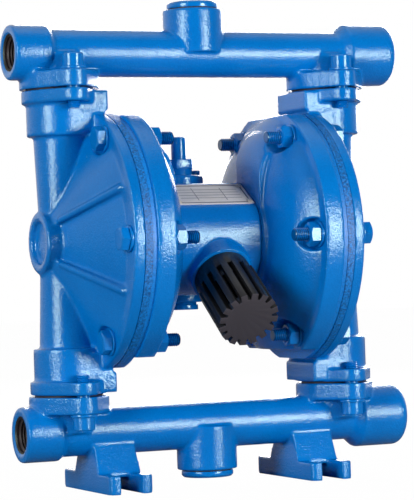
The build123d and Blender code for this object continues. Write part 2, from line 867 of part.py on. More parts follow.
def ball_valve(side, seat_top):
    """A ball on its seat, and the ring round the seat."""
    ring_r = socket_bore_r - seal_gap - seat_ring_r
    with BuildPart() as seat:
        with BuildSketch(level(seat_top - seat_height, side * column_x)):
            Circle(socket_bore_r - seat_fit)
            Circle(seat_bore_r, mode=Mode.SUBTRACT)
        extrude(amount=seat_height)
        with BuildSketch(level(seat_top - seat_height / 2 - seat_ring_r, side * column_x)):
            Circle(socket_bore_r)
            Circle(ring_r - seat_ring_r - press_gap, mode=Mode.SUBTRACT)
        extrude(amount=2 * seat_ring_r, mode=Mode.SUBTRACT)
    with BuildPart() as ball:
        with Locations((side * column_x, 0, seat_top + ball_contact)):
            Sphere(ball_r)
    with BuildPart() as ring:
        with Locations((side * column_x, 0, seat_top - seat_height / 2)):
            Torus(ring_r, seat_ring_r)
    return ball.part, seat.part, ring.part


rings = []
for side_name, side in sides.items():
    for port, seat_top in (
        ("outlet", shaft_z + outlet_seat_top),
        ("inlet", shaft_z - joint_rise - joint_half),
    ):
        ball, seat, ring = ball_valve(side, seat_top)
        finish(ball, f"{side_name}_{port}_ball")
        finish(seat, f"{side_name}_{port}_seat")
        rings.append(ring)
finish(group(rings), "seat_rings")


# Centre body

with BuildPart() as centre_body:
    with BuildSketch(across(-body_half_length)):
        Circle(body_r)
        with Locations((body_back_y + body_r, 0)):
            Rectangle(2 * body_r, 2 * body_r, mode=Mode.SUBTRACT)
    extrude(amount=2 * body_half_length)
    with BuildSketch(radial(muffler_tilt, bush_r)):
        Circle(muffler_boss_r)
    extrude(amount=muffler_boss_end - bush_r)
    with BuildSketch(radial(label_tilt, label_offset)):
        Rectangle(2 * body_half_length, body_r)
    extrude(amount=body_r, mode=Mode.SUBTRACT)
    with BuildSketch(section()):
        with BuildLine():
            Polyline(
                (0, 0), (0, shaft_bore_r), (body_half_length - bush_length, shaft_bore_r),
                (body_half_length - bush_length, bush_r), (body_half_length, bush_r),
                (body_half_length, 0), (0, 0),
            )
        make_face()
        with Locations((shaft_seal_x, 0)):
            Rectangle(2 * shaft_seal_ring_r + 2 * press_gap, 2 * seal_groove_r)
        mirror(about=Plane.YZ)
        with Locations((0, -body_r / 2)):
            Rectangle(2 * body_half_length, body_r, mode=Mode.SUBTRACT)
    revolve(axis=shaft_axis, mode=Mode.SUBTRACT)
    with BuildSketch(radial(muffler_tilt, muffler_boss_end)):
        Circle(muffler_thread_r)
    extrude(amount=-muffler_stub - thread_runout, mode=Mode.SUBTRACT)
    with BuildSketch(Plane((0, body_back_y, shaft_z), x_dir=(1, 0, 0), z_dir=(0, -1, 0))):
        with Locations((-gallery_x, gallery_rise), (gallery_x, gallery_rise)):
            Circle(gallery_r)
    extrude(amount=body_back_y - gallery_y, mode=Mode.SUBTRACT)
    with BuildSketch(Plane((0, body_back_y, shaft_z), x_dir=(1, 0, 0), z_dir=(0, -1, 0))):
        with Locations((0, -exhaust_drop)):
            Circle(exhaust_r)
    extrude(amount=body_back_y - exhaust_y, mode=Mode.SUBTRACT)
    with BuildSketch(Plane((0, body_back_y, shaft_z), x_dir=(1, 0, 0), z_dir=(0, -1, 0))):
        with GridLocations(2 * valve_screw_x, 2 * valve_screw_z, 2, 2):
            Circle(valve_screw_r + thread_gap)
    extrude(amount=valve_screw_reach, mode=Mode.SUBTRACT)
    for side in sides.values():
        with BuildSketch(across(side * body_half_length)):
            with Locations((gallery_y, gallery_rise)):
                Circle(gallery_r)
        extrude(amount=-side * (body_half_length - gallery_x), mode=Mode.SUBTRACT)
        with BuildSketch(across(side * body_half_length)):
            with Locations(*screw_places()):
                Circle(inner_screw_r + thread_gap)
        extrude(amount=-side * inner_screw_reach, mode=Mode.SUBTRACT)
    with BuildSketch(radial(label_tilt, label_offset)):
        with GridLocations(rivet_row_length, rivet_row_distance, 2, 2):
            Circle(rivet_r)
    extrude(amount=-rivet_shank, mode=Mode.SUBTRACT)
finish(centre_body.part, "centre_body")

body_gaskets, inner_screws = [], []
for side in sides.values():
    with BuildPart() as gasket:
        with BuildSketch(across(side * body_half_length)):
            Circle(body_r)
            with Locations((body_back_y + body_r, 0)):
                Rectangle(2 * body_r, 2 * body_r, mode=Mode.SUBTRACT)
            with BuildSketch(mode=Mode.SUBTRACT):
                Circle(bush_r + sliding_gap)
                with Locations((gallery_y, gallery_rise)):
                    Circle(gallery_r)
                with Locations(*screw_places()):
                    Circle(inner_screw_r + bolt_gap)
        extrude(amount=side * body_gasket)
        with BuildSketch(radial(label_tilt, label_offset)):
            Rectangle(4 * body_half_length, body_r)
        extrude(amount=body_r, mode=Mode.SUBTRACT)
    body_gaskets.append(gasket.part)
    for y, z in screw_places():
        with BuildPart() as screw:
            with BuildSketch(across(side * air_chamber_depth_x)):
                with Locations((y, z)):
                    Circle(inner_head_r)
            extrude(amount=side * inner_head_height)
            with BuildSketch(across(side * (air_chamber_depth_x + inner_head_height))):
                with Locations((y, z)):
                    RegularPolygon(inner_socket_af / 2, 6, major_radius=False)
            extrude(amount=-side * inner_socket_depth, mode=Mode.SUBTRACT)
            with BuildSketch(across(side * air_chamber_depth_x)):
                with Locations((y, z)):
                    Circle(inner_screw_r)
            extrude(amount=-side * inner_screw_length)
        inner_screws.append(screw.part)
finish(group(body_gaskets), "inner_cover_gaskets")
finish(group(inner_screws), "inner_cover_screws")


# Bushes and seals of the shaft

bushes, seals = [], []
for side in sides.values():
    with BuildPart() as bush:
        with BuildSketch(across(side * body_half_length)):
            Circle(bush_r - press_gap)
            Circle(shaft_r + running_gap, mode=Mode.SUBTRACT)
        extrude(amount=-side * bush_length)
    bushes.append(bush.part)
    with BuildPart() as seal:
        with Locations(Location((side * shaft_seal_x, 0, shaft_z), (0, 90, 0))):
            Torus(seal_major_r, shaft_seal_ring_r)
    seals.append(seal.part)
finish(group(bushes), "shaft_bushes")
finish(group(seals), "shaft_seals")


# Shaft with the plates and nuts that clamp the diaphragms to it

shoulder_x = diaphragm_inner_x - clamp_fit - inner_plate_thickness
outer_plate_x = diaphragm_outer_x + clamp_fit
clamp_nut_x = outer_plate_x + outer_plate_thickness
stud_end_x = clamp_nut_x + clamp_nut_height + stud_reach

with BuildPart() as shaft:
    with BuildSketch(section()):
        with BuildLine():
            Polyline(
                (0, 0), (0, shaft_r), (shaft_waist_x, shaft_r),
                (shaft_waist_x + shaft_bevel, shaft_waist_r),
                (shaft_waist_x + shaft_waist_width - shaft_bevel, shaft_waist_r),
                (shaft_waist_x + shaft_waist_width, shaft_r), (shoulder_x, shaft_r),
                (shoulder_x, stud_r), (stud_end_x - shaft_bevel, stud_r),
                (stud_end_x, stud_r - shaft_bevel), (stud_end_x, 0), (0, 0),
            )
        make_face()
        mirror(about=Plane.YZ)
    revolve(axis=shaft_axis)
finish(shaft.part, "shaft")

with BuildPart() as inner_plate:
    with BuildSketch(section()):
        with BuildLine():
            Polyline(
                (shoulder_x, plate_hole_r), (shoulder_x, clamp_r - plate_bevel),
                (shoulder_x + plate_bevel, clamp_r), (diaphragm_inner_x - clamp_fit, clamp_r),
                (diaphragm_inner_x - clamp_fit, plate_hole_r), (shoulder_x, plate_hole_r),
            )
        make_face()
    revolve(axis=shaft_axis)
with BuildPart() as outer_plate:
    with BuildSketch(section()):
        with BuildLine():
            Polyline(
                (outer_plate_x, plate_hole_r), (outer_plate_x, clamp_r),
                (clamp_nut_x - outer_plate_slope, clamp_r),
                (clamp_nut_x, clamp_nut_af), (clamp_nut_x, plate_hole_r),
                (outer_plate_x, plate_hole_r),
            )
        make_face()
    revolve(axis=shaft_axis)
with BuildPart() as clamp_nut:
    with BuildSketch(across(clamp_nut_x)):
        RegularPolygon(clamp_nut_af / 2, 6, major_radius=False)
        Circle(stud_r + thread_gap, mode=Mode.SUBTRACT)
    extrude(amount=clamp_nut_height)
for piece, name in (
    (inner_plate, "inner_plate"), (outer_plate, "outer_plate"), (clamp_nut, "shaft_nut"),
):
    finish(piece.part, f"right_{name}")
    finish(mirrored(piece.part), f"left_{name}")


# Muffler

muffler_length = muffler_end - muffler_boss_end
muffler_slot_start = muffler_boss_end + muffler_collar_length + muffler_slot_margin

with BuildPart() as muffler:
    with BuildSketch(radial(muffler_tilt, muffler_boss_end - muffler_stub)):
        Circle(muffler_thread_r - thread_gap)
    extrude(amount=muffler_stub)
    with BuildSketch(radial(muffler_tilt, muffler_boss_end)):
        Circle(muffler_collar_r)
    extrude(amount=muffler_collar_length)
    with BuildSketch(radial(muffler_tilt, muffler_boss_end + muffler_collar_length)):
        Circle(muffler_root_r)
        with PolarLocations(0, muffler_ribs):
            with Locations((muffler_tip_r / 2, 0)):
                Rectangle(muffler_tip_r, muffler_rib_width)
    extrude(amount=muffler_length - muffler_collar_length)
    with BuildSketch(radial(muffler_tilt, muffler_boss_end - muffler_stub)):
        Circle(muffler_bore_r)
    extrude(amount=muffler_stub + muffler_length - muffler_wall, mode=Mode.SUBTRACT)
    # slots between the ribs let the exhaust air out
    with BuildSketch(radial(muffler_tilt, muffler_slot_start)):
        with PolarLocations(0, muffler_ribs, start_angle=180 / muffler_ribs):
            with Locations((muffler_tip_r / 2, 0)):
                Rectangle(muffler_tip_r, muffler_slot_width)
    extrude(amount=muffler_end - muffler_slot_margin - muffler_slot_start, mode=Mode.SUBTRACT)
finish(muffler.part, "muffler")


# Label plate and its rivets

with BuildPart() as label_plate:
    with BuildSketch(radial(label_tilt, label_offset)):
        RectangleRounded(label_length, label_width, label_corner)
        with GridLocations(rivet_row_length, rivet_row_distance, 2, 2):
            Circle(rivet_r + thread_gap, mode=Mode.SUBTRACT)
    extrude(amount=label_thickness)
finish(label_plate.part, "label_plate")

rivets = []
for across_label in (-rivet_row_length / 2, rivet_row_length / 2):
    for up_label in (-rivet_row_distance / 2, rivet_row_distance / 2):
        with BuildPart() as rivet:
            with BuildSketch(radial(label_tilt, label_offset + label_thickness)):
                with Locations((across_label, up_label)):
                    Circle(rivet_head_r)
            extrude(amount=rivet_head_height)
            with BuildSketch(radial(label_tilt, label_offset + label_thickness)):
                with Locations((across_label, up_label)):
                    Circle(rivet_r - press_gap)
            extrude(amount=-rivet_shank)
        rivets.append(rivet.part)
finish(group(rivets), "label_rivets")


# Air valve

def facing_back(y):
    """A plane facing away from the muffler side, with sketch x along X and sketch y up."""
    return Plane((0, y, shaft_z), x_dir=(1, 0, 0), z_dir=(0, -1, 0))


valve_front_y = body_back_y + valve_gasket
air_port_face_y = valve_back_y + air_boss_length

with BuildPart() as valve_body:
    with BuildSketch(facing_back(valve_front_y)):
        RectangleRounded(2 * valve_half_width, 2 * valve_half_height, valve_corner)
    extrude(amount=-(valve_back_y - valve_front_y))
    with BuildSketch(level(shaft_z + valve_bottom, 0, valve_y)):
        Circle(valve_column_r)
    extrude(amount=valve_top - valve_bottom)
    with BuildSketch(level(shaft_z + valve_top, 0, valve_y)):
        Circle(valve_column_r)
        with Locations((-lock_screw_x, 0), (lock_screw_x, 0)):
            Circle(lock_lug_r)
        make_hull()
    extrude(amount=-lock_lug_height)
    with BuildSketch(facing_back(valve_back_y)):
        Circle(air_boss_r)
    extrude(amount=-air_boss_length)
    with BuildSketch(level(shaft_z + valve_bottom, 0, valve_y)):
        Circle(sleeve_r)
    extrude(amount=sleeve_half_length + press_gap - valve_bottom, mode=Mode.SUBTRACT)
    with BuildSketch(level(shaft_z + valve_top, 0, valve_y)):
        Circle(gland_bore_r)
    extrude(amount=-(valve_top - sleeve_half_length), mode=Mode.SUBTRACT)
    with BuildSketch(level(shaft_z + valve_top, 0, valve_y)):
        with Locations((-lock_screw_x, 0), (lock_screw_x, 0)):
            Circle(lock_screw_r + thread_gap)
    extrude(amount=-lock_screw_length - 1, mode=Mode.SUBTRACT)
    with BuildSketch(facing_back(air_port_face_y)):
        Circle(air_port_r)
    extrude(amount=air_port_depth, mode=Mode.SUBTRACT)
    with BuildSketch(facing_back(air_port_face_y)):
        Circle(sleeve_port_r)
    extrude(amount=air_port_face_y - valve_y, mode=Mode.SUBTRACT)
    with BuildSketch(facing_back(valve_y)):
        with Locations((-gallery_x, gallery_rise), (gallery_x, gallery_rise)):
            Circle(sleeve_port_r)
        with Locations((0, -exhaust_drop)):
            Circle(exhaust_r)
    extrude(amount=valve_y - valve_front_y, mode=Mode.SUBTRACT)
    with BuildSketch(facing_back(valve_front_y)):
        with GridLocations(2 * valve_screw_x, 2 * valve_screw_z, 2, 2):
            Circle(valve_screw_r + bolt_gap)
    extrude(amount=-(valve_back_y - valve_front_y), mode=Mode.SUBTRACT)
finish(valve_body.part, "valve_body")

with BuildPart() as valve_gasket_sheet:
    with BuildSketch(facing_back(body_back_y)):
        RectangleRounded(2 * valve_half_width, 2 * valve_half_height, valve_corner)
        with Locations((-gallery_x, gallery_rise), (gallery_x, gallery_rise)):
            Circle(gallery_r, mode=Mode.SUBTRACT)
        with Locations((0, -exhaust_drop)):
            Circle(exhaust_r, mode=Mode.SUBTRACT)
        with GridLocations(2 * valve_screw_x, 2 * valve_screw_z, 2, 2):
            Circle(valve_screw_r + bolt_gap, mode=Mode.SUBTRACT)
    extrude(amount=-valve_gasket)
finish(valve_gasket_sheet.part, "valve_gasket")

valve_screws = []
for x in (-valve_screw_x, valve_screw_x):
    for z in (-valve_screw_z, valve_screw_z):
        with BuildPart() as screw:
            with BuildSketch(facing_back(valve_back_y)):
                with Locations((x, z)):
                    Circle(valve_head_r)
            extrude(amount=-valve_head_height)
            with BuildSketch(facing_back(valve_back_y + valve_head_height)):
                with Locations((x, z)):
                    RegularPolygon(valve_socket_af / 2, 6, major_radius=False)
            extrude(amount=valve_socket_depth, mode=Mode.SUBTRACT)
            with BuildSketch(facing_back(valve_back_y)):
                with Locations((x, z)):
                    Circle(valve_screw_r)
            extrude(amount=valve_screw_length)
        valve_screws.append(screw.part)
finish(group(valve_screws), "valve_screws")

with BuildPart() as valve_sleeve:
    with BuildSketch(level(shaft_z - sleeve_half_length, 0, valve_y)):
        Circle(sleeve_r - press_gap)
        Circle(sleeve_bore_r, mode=Mode.SUBTRACT)
    extrude(amount=2 * sleeve_half_length)
    with BuildSketch(facing_back(valve_y + sleeve_r)):
        with Locations((0, -sleeve_port_pitch), (0, 0), (0, sleeve_port_pitch)):
            Circle(sleeve_port_r)
    extrude(amount=2 * sleeve_r, mode=Mode.SUBTRACT)
finish(valve_sleeve.part, "valve_sleeve")

with BuildPart() as spool:
    with BuildSketch(Plane((0, valve_y, shaft_z), x_dir=(1, 0, 0), z_dir=(0, -1, 0))):
        with Locations((spool_waist_r / 2, 0)):
            Rectangle(spool_waist_r, 2 * spool_half_length)
        with Locations(*[((sleeve_bore_r - running_gap) / 2, z) for z in spool_lands]):
            Rectangle(sleeve_bore_r - running_gap, spool_land)
    revolve(axis=Axis((0, valve_y, shaft_z), (0, 0, 1)))
finish(spool.part, "spool")


# Valve caps, reset button and its spring

with BuildPart() as valve_top_cap:
    with BuildSketch(level(shaft_z + gland_foot, 0, valve_y)):
        Circle(gland_bore_r - thread_gap)
    extrude(amount=valve_top - gland_foot)
    with BuildSketch(level(shaft_z + valve_top, 0, valve_y)):
        Circle(gland_collar_r)
    extrude(amount=gland_collar_height)
    with BuildSketch(level(shaft_z + valve_top + gland_collar_height, 0, valve_y)):
        RegularPolygon(gland_af / 2, 6, major_radius=False)
    extrude(amount=gland_height)
    with BuildSketch(level(shaft_z + gland_foot, 0, valve_y)):
        Circle(button_stem_r + sliding_gap)
    extrude(amount=button_well_foot - gland_foot, mode=Mode.SUBTRACT)
    with BuildSketch(level(shaft_z + button_well_foot, 0, valve_y)):
        Circle(button_well_r)
    extrude(amount=valve_top + gland_collar_height + gland_height - button_well_foot,
            mode=Mode.SUBTRACT)
finish(valve_top_cap.part, "valve_top_cap")

with BuildPart() as valve_bottom_cap:
    with BuildSketch(level(shaft_z + valve_bottom, 0, valve_y)):
        Circle(sleeve_r - thread_gap)
    extrude(amount=end_cap_shank)
    with BuildSketch(level(shaft_z + valve_bottom, 0, valve_y)):
        Circle(end_cap_neck_r)
    extrude(amount=-end_cap_neck)
    with BuildSketch(level(shaft_z + valve_bottom - end_cap_neck, 0, valve_y)):
        Circle(end_cap_r)
    extrude(amount=-end_cap_height)
finish(valve_bottom_cap.part, "valve_bottom_cap")

lock_screws = []
for x in (-lock_screw_x, lock_screw_x):
    with BuildPart() as screw:
        with BuildSketch(level(shaft_z + valve_top, x, valve_y)):
            Circle(lock_head_r)
        extrude(amount=lock_head_height)
        with BuildSketch(level(shaft_z + valve_top, x, valve_y)):
            Circle(lock_screw_r)
        extrude(amount=-lock_screw_length)
    lock_screws.append(screw.part)
finish(group(lock_screws), "cap_screws")

flange_top = gland_foot - sliding_gap
with BuildPart() as reset_button:
    with BuildSketch(level(shaft_z + button_foot, 0, valve_y)):
        Circle(button_r)
    extrude(amount=button_top - button_foot)
    with BuildSketch(level(shaft_z + flange_top, 0, valve_y)):
        Circle(button_stem_r)
    extrude(amount=button_foot - flange_top)
    with BuildSketch(level(shaft_z + flange_top, 0, valve_y)):
        Circle(button_flange_r)
    extrude(amount=-button_flange)
    chamfer(reset_button.edges().filter_by(GeomType.CIRCLE).sort_by(Axis.Z)[-1], button_bevel)
finish(reset_button.part, "reset_button")

spring_foot = shaft_z + button_well_foot + button_spring_wire_r + spring_gap
spring_rise = button_foot - button_well_foot - 2 * (button_spring_wire_r + spring_gap)
with BuildPart() as button_spring:
    with BuildLine() as coil:
        Helix(
            pitch=spring_rise / button_spring_turns, height=spring_rise, radius=button_spring_r,
            center=(0, valve_y, spring_foot),
        )
    with BuildSketch(Plane(origin=coil.line @ 0, z_dir=coil.line % 0)):
        RegularPolygon(button_spring_wire_r, 6)
    sweep()
finish(button_spring.part, "button_spring")
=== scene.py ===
import json
from math import atan2, cos, pi, radians, sin

import bmesh
import bpy
from mathutils import Matrix, Vector


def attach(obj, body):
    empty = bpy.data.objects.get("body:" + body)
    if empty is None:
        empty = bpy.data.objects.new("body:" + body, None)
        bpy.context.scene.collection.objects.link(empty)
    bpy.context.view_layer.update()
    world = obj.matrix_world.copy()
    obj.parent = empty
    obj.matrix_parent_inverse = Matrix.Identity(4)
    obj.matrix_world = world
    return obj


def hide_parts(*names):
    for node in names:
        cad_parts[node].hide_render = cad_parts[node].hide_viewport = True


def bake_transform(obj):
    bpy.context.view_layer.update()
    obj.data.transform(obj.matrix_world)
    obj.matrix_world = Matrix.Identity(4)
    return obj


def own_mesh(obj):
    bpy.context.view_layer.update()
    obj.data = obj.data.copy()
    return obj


bl_info = {
    "name": "Diaphragm pump",
    "version": (1, 0, 0),
    "blender": (4, 5, 0),
    "location": "View3D > Sidebar > Pump",
    "description": "Dresses the packed pump with cast surfaces, fasteners, threads and enamel",
    "category": "Object",
}

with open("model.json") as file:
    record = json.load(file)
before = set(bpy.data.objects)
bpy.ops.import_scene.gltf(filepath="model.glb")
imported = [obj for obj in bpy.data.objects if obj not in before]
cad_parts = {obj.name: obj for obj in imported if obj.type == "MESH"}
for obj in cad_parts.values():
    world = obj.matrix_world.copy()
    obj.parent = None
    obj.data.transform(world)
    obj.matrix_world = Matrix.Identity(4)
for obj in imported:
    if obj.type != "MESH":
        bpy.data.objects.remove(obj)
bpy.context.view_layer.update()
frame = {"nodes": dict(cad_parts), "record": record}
nodes = frame["nodes"]
SIDES = {"left": -1, "right": 1}
MM = 0.001

# The shaft's height and the height that lamps aim at, in metres
SHAFT_HEIGHT = 0.151
PUMP_MIDDLE = 0.15

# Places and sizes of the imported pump, in millimetres and degrees
MANIFOLD_RISE = 115.0
MANIFOLD_BORE_R = 11.6
BORE_END_X = 120.9
COLUMN_X = 89.5
EAR_Y = 25.0
BOLT_CIRCLE_R = 70.0
LABEL_TILT = 58.5
MUFFLER_TILT = -35.5
MUFFLER_END = 86.0
PORT_X = 121.6
HEX_SLOPE = 0.577

# The label's lines: half widths and half heights, the rows' height, the columns' place
LABEL_BORDER = (23.4, 9.9)
LABEL_EDGE = (24.4, 10.9)
LABEL_FIELDS = (20.5, 7.5)
LABEL_ROW = 3.4
LABEL_COLUMN_X = 9.5
LABEL_LINE = 0.32

# M8 threads
M8_R = 4.0
THREAD_PITCH = 1.25
THREAD_DEPTH = 0.8
BOLT_THREAD_START = 31.9
BOLT_THREAD_END = 40.0
SCREW_THREAD_START = 80.4
SCREW_THREAD_END = 86.0

# The pipe threads in the port mouths, and how far in from a mouth they start and end
PIPE_PITCH = 1.814
PIPE_GROOVE_R = 10.3
PIPE_DEPTH = 1.1
PIPE_SLEEVE_R = 10.45
PIPE_INNER_END = 16.6
PIPE_OUTER_END = 1.7

# The sunk panels' beads, from the hub to the flange: X, Y, height over the shaft, radius
BEAD_IN = (98.9, 18.0, 12.9, 1.9)
BEAD_OUT = (75.4, 61.0, 30.2, 2.5)

# The diaphragms' four sectors, each centred on an angle from the back, and half a sector's width,
# in degrees
SECTORS = {"back": 0, "top": 90, "front": 180, "bottom": 270}
SECTOR_HALF = 45

# Some castings' cell size and smoothing rounds as multiples of the panel's
MANIFOLD_GRAIN = 1.07
OUTER_COVER_GRAIN = 1.16
INNER_COVER_ROUNDS = 3

# Where the photograph was taken from, in degrees and in metres from the shaft's centre
CAMERA_TURN = 23.43
CAMERA_PITCH = 0.69
CAMERA_ROLL = 1.89
CAMERA_PLACE = (-0.5746, -1.3366, -0.0244)
CAMERA_LENS = 168.7

# The softboxes: place, width, height and power
LAMPS = {
    "left_box": ((-1.25, -0.64, 0.38), 0.5, 0.7, 14.5),
    "right_box": ((0.47, -0.99, 0.235), 0.3, 0.44, 9.5),
    "overhead": ((0.1, 0.2, 1.9), 1.2, 1.2, 2.5),
    "back_box": ((0.85, 1.2, 0.6), 1.0, 0.8, 20.0),
}


class Value:
    """A shader socket that can be used in a Python expression."""

    def __init__(self, tree, socket):
        self.tree = tree
        self.socket = socket

    def _math(self, operation, first, second):
        node = self.tree.nodes.new("ShaderNodeMath")
        node.operation = operation
        for place, term in zip(node.inputs, (first, second)):
            if isinstance(term, Value):
                self.tree.links.new(term.socket, place)
            else:
                place.default_value = term
        return Value(self.tree, node.outputs[0])

    def __add__(self, other):
        return self._math("ADD", self, other)

    def __radd__(self, other):
        return self._math("ADD", other, self)

    def __sub__(self, other):
        return self._math("SUBTRACT", self, other)

    def __rsub__(self, other):
        return self._math("SUBTRACT", other, self)

    def __mul__(self, other):
        return self._math("MULTIPLY", self, other)

    def __rmul__(self, other):
        return self._math("MULTIPLY", other, self)

    def __abs__(self):
        return self._math("ABSOLUTE", self, 0.0)

    def __mod__(self, other):
        return self._math("MODULO", self, other)

    def __lt__(self, other):
        return self._math("LESS_THAN", self, other)

    def __gt__(self, other):
        return self._math("GREATER_THAN", self, other)

    def clamped(self):
        """The same value, kept between 0 and 1."""
        node = self._math("ADD", self, 0.0)
        node.socket.node.use_clamp = True
        return node


class Finish:
    """A material under construction, with its tree and its shader."""

    def __init__(self, name):
        self.material = bpy.data.materials.new(name)
        self.material.use_nodes = True
        self.tree = self.material.node_tree
        self.shader = self.tree.nodes["Principled BSDF"]
        self.place = self.node("ShaderNodeTexCoord", output="Object")

    def node(self, kind, settings=None, inputs=None, output=0):
        """Adds a node, first its settings and then its socket values or links."""
        node = self.tree.nodes.new(kind)
        for key, setting in (settings or {}).items():
            if key == "stops":
                ramp = node.color_ramp.elements
                while len(ramp) < len(setting):
                    ramp.new(0.5)
                for element, (position, colour) in zip(ramp, setting):
                    element.position = position
                    element.color = colour
            else:
                setattr(node, key, setting)
        for key, term in (inputs or {}).items():
            if isinstance(term, Value):
                self.tree.links.new(term.socket, node.inputs[key])
            else:
                node.inputs[key].default_value = term
        return Value(self.tree, node.outputs[output])

    def noise(self, scale, detail=2.0, roughness=0.5):
        """A noise value on the piece's own coordinates."""
        return self.node(
            "ShaderNodeTexNoise",
            inputs={
                "Vector": self.place, "Scale": scale, "Detail": detail, "Roughness": roughness,
            },
        )

    def ramp(self, value, stops):
        """A value or colour looked up along a ramp."""
        return self.node("ShaderNodeValToRGB", {"stops": stops}, {"Fac": value})

    def coordinates(self):
        """The X, Y and Z of a point on the piece, in metres."""
        parts = self.node("ShaderNodeSeparateXYZ", inputs={0: self.place}).socket.node.outputs
        return [Value(self.tree, part) for part in parts]

    def mix(self, factor, first, second):
        """A colour between two colours."""
        return self.node(
            "ShaderNodeMix", {"data_type": "RGBA"}, {0: factor, 6: first, 7: second}, output=2
        )

    def bump(self, height, distance, strength=1.0, under=None):
        """A bump from a height in metres, over another bump if one is given."""
        inputs = {"Height": height, "Distance": distance, "Strength": strength}
        if under:
            inputs["Normal"] = under
        return self.node("ShaderNodeBump", inputs=inputs)

    def set(self, **inputs):
        """Sets or links the shader's sockets; underscores stand for spaces."""
        for key, term in inputs.items():
            socket = self.shader.inputs[key.replace("_", " ")]
            if isinstance(term, Value):
                self.tree.links.new(term.socket, socket)
            else:
                socket.default_value = term
        return self.material


def grey(level):
    """An opaque grey."""
    return (level, level, level, 1.0)


def darkened(colour, share):
    """An opaque colour with that share of another's light."""
    return (*(share * c for c in colour[:3]), 1.0)


def sizes():
    """The sizes and colours in the panel."""
    return bpy.context.scene.pump_look


def enamel(name, grain=1.0, bores=False, tips=False):
    """Glossy blue enamel over a sand casting, with bare dark bores or painted shade in the thread
    grooves.
    """
    look = sizes()
    paint = Finish(name)
    pool = paint.noise(24.0, 2.0)
    speck = paint.noise(900.0, 2.0, 0.6)
    shade = (pool * 0.7 + speck * 0.6 - 0.15).clamped()
    colour = paint.mix(shade, tuple(look.enamel_deep), tuple(look.enamel_light))
    rough = 0.1 + 0.1 * speck
    if bores:
        x, y, z = paint.coordinates()
        rise = abs(z - SHAFT_HEIGHT) - MANIFOLD_RISE * MM
        inside = (y * y + rise * rise) < (MANIFOLD_BORE_R * MM) ** 2
        open_end = abs(x) < BORE_END_X * MM
        bare = inside * open_end
        colour = paint.mix(bare, colour, tuple(look.bare_iron))
        rough = rough + bare * 0.3
    if tips:
        # Painted shade: the grooves of the bolts' threaded tips are darkened to stand for the shade
        # in them
        x = paint.coordinates()[0]
        turns = (abs(x) - BOLT_THREAD_START * MM) * (1 / (THREAD_PITCH * MM)) % 1.0
        groove_shade = (abs(turns - 0.5) > 0.3) * (abs(x) < (BOLT_THREAD_END - 0.1) * MM)
        colour = paint.mix(groove_shade * 0.65, colour, darkened(look.enamel_deep, 0.2))
    sand = paint.bump(paint.noise(860.0, 2.0, 0.6), 0.00026 * grain, 0.9)
    peel = paint.bump(paint.noise(480.0, 1.0, 0.5), 0.00006 * grain, 0.8, under=sand)
    wave = paint.bump(paint.noise(45.0, 1.0, 0.5), 0.0004 * grain, 0.45, under=peel)
    return paint.set(
        Base_Color=colour,
        Roughness=rough,
        Normal=wave,
        IOR=1.5,
        Specular_IOR_Level=0.6,
        Specular_Tint=(0.74, 1.0, 0.86, 1.0),
    )


def painted_edge(name, share, depth):
    """Rubber at a diaphragm's rim with overspray from the castings; share is how much is blue."""
    look = sizes()
    paint = Finish(name)
    spot = paint.noise(760.0, 3.0, 0.65)
    cover = paint.ramp(spot, [(0.6 - 0.5 * share, grey(0)), (0.85 - 0.4 * share, grey(1))])
    colour = paint.mix(cover, darkened(look.enamel_deep, 0.5), tuple(look.enamel_light))
    return paint.set(
        Base_Color=colour,
        Roughness=0.3 + 0.25 * spot,
        Normal=paint.bump(spot, depth, 0.8),
        IOR=1.5,
    )


def plain(name, colour, roughness, metallic=0.0, grain=300.0):
    """A plain finish with a little grain."""
    finish = Finish(name)
    spot = finish.noise(grain, 3.0)
    pale = tuple(min(1.0, c * 1.25 + 0.01) for c in colour)
    shade = finish.mix(spot, (*colour, 1.0), (*pale, 1.0))
    return finish.set(
        Base_Color=shade,
        Roughness=roughness - 0.08 + 0.16 * spot,
        Metallic=metallic,
        Normal=finish.bump(spot, 0.00005, 0.5),
    )


def muffler_finish():
    """Black moulded plastic, with a painted highlight: greyer on the end face, where it catches the
    light.
    """
    finish = Finish("muffler_black")
    _, y, z = finish.coordinates()
    tilt = radians(MUFFLER_TILT)
    along = (z - SHAFT_HEIGHT) * sin(tilt) - y * cos(tilt)
    # Painted highlight: the end face gets a lighter grey that stands for the light it catches
    end = along > (MUFFLER_END - 0.5) * MM
    spot = finish.noise(600.0, 3.0)
    colour = finish.mix(end, (0.008, 0.008, 0.009, 1.0), (0.05, 0.045, 0.055, 1.0))
    return finish.set(
        Base_Color=colour,
        Roughness=0.3 + 0.14 * spot,
        Normal=finish.bump(spot, 0.0001, 0.5),
        IOR=1.5,
    )


def label_finish():
    """A pale plate with a border and ruled fields, and nothing written in them."""
    finish = Finish("label_metal")
    x, y, z = finish.coordinates()
    tilt = radians(LABEL_TILT)
    across = abs(x)
    up = y * sin(tilt) + (z - SHAFT_HEIGHT) * cos(tilt)
    line = LABEL_LINE * MM
    border, edge = (
        ((across > wide * MM) + (abs(up) > high * MM)).clamped()
        for wide, high in (LABEL_BORDER, LABEL_EDGE)
    )
    frame_line = border * (1 - edge)
    fields = (across < LABEL_FIELDS[0] * MM) * (abs(up) < LABEL_FIELDS[1] * MM)
    rise = (up + 20 * MM) * (1 / (LABEL_ROW * MM)) % 1.0
    row = abs(rise - 0.5) * LABEL_ROW * MM < line
    column = abs(across - LABEL_COLUMN_X * MM) < line
    ruled = (row + column).clamped() * fields
    ink = (frame_line + ruled * 0.75).clamped()
    spot = finish.noise(260.0, 3.0)
    ground = finish.mix(spot, (0.72, 0.68, 0.65, 1.0), (0.8, 0.77, 0.74, 1.0))
    colour = finish.mix(ink, ground, (0.12, 0.12, 0.14, 1.0))
    return finish.set(Base_Color=colour, Roughness=0.34 + 0.1 * spot, IOR=1.5)


def only_material(piece, material):
    """Gives a piece one material all over."""
    piece.data.materials.clear()
    piece.data.materials.append(material)


def dress(name, material):
    """Puts a material on a CAD node's slots."""
    for slot in nodes[name].material_slots:
        slot.material = material


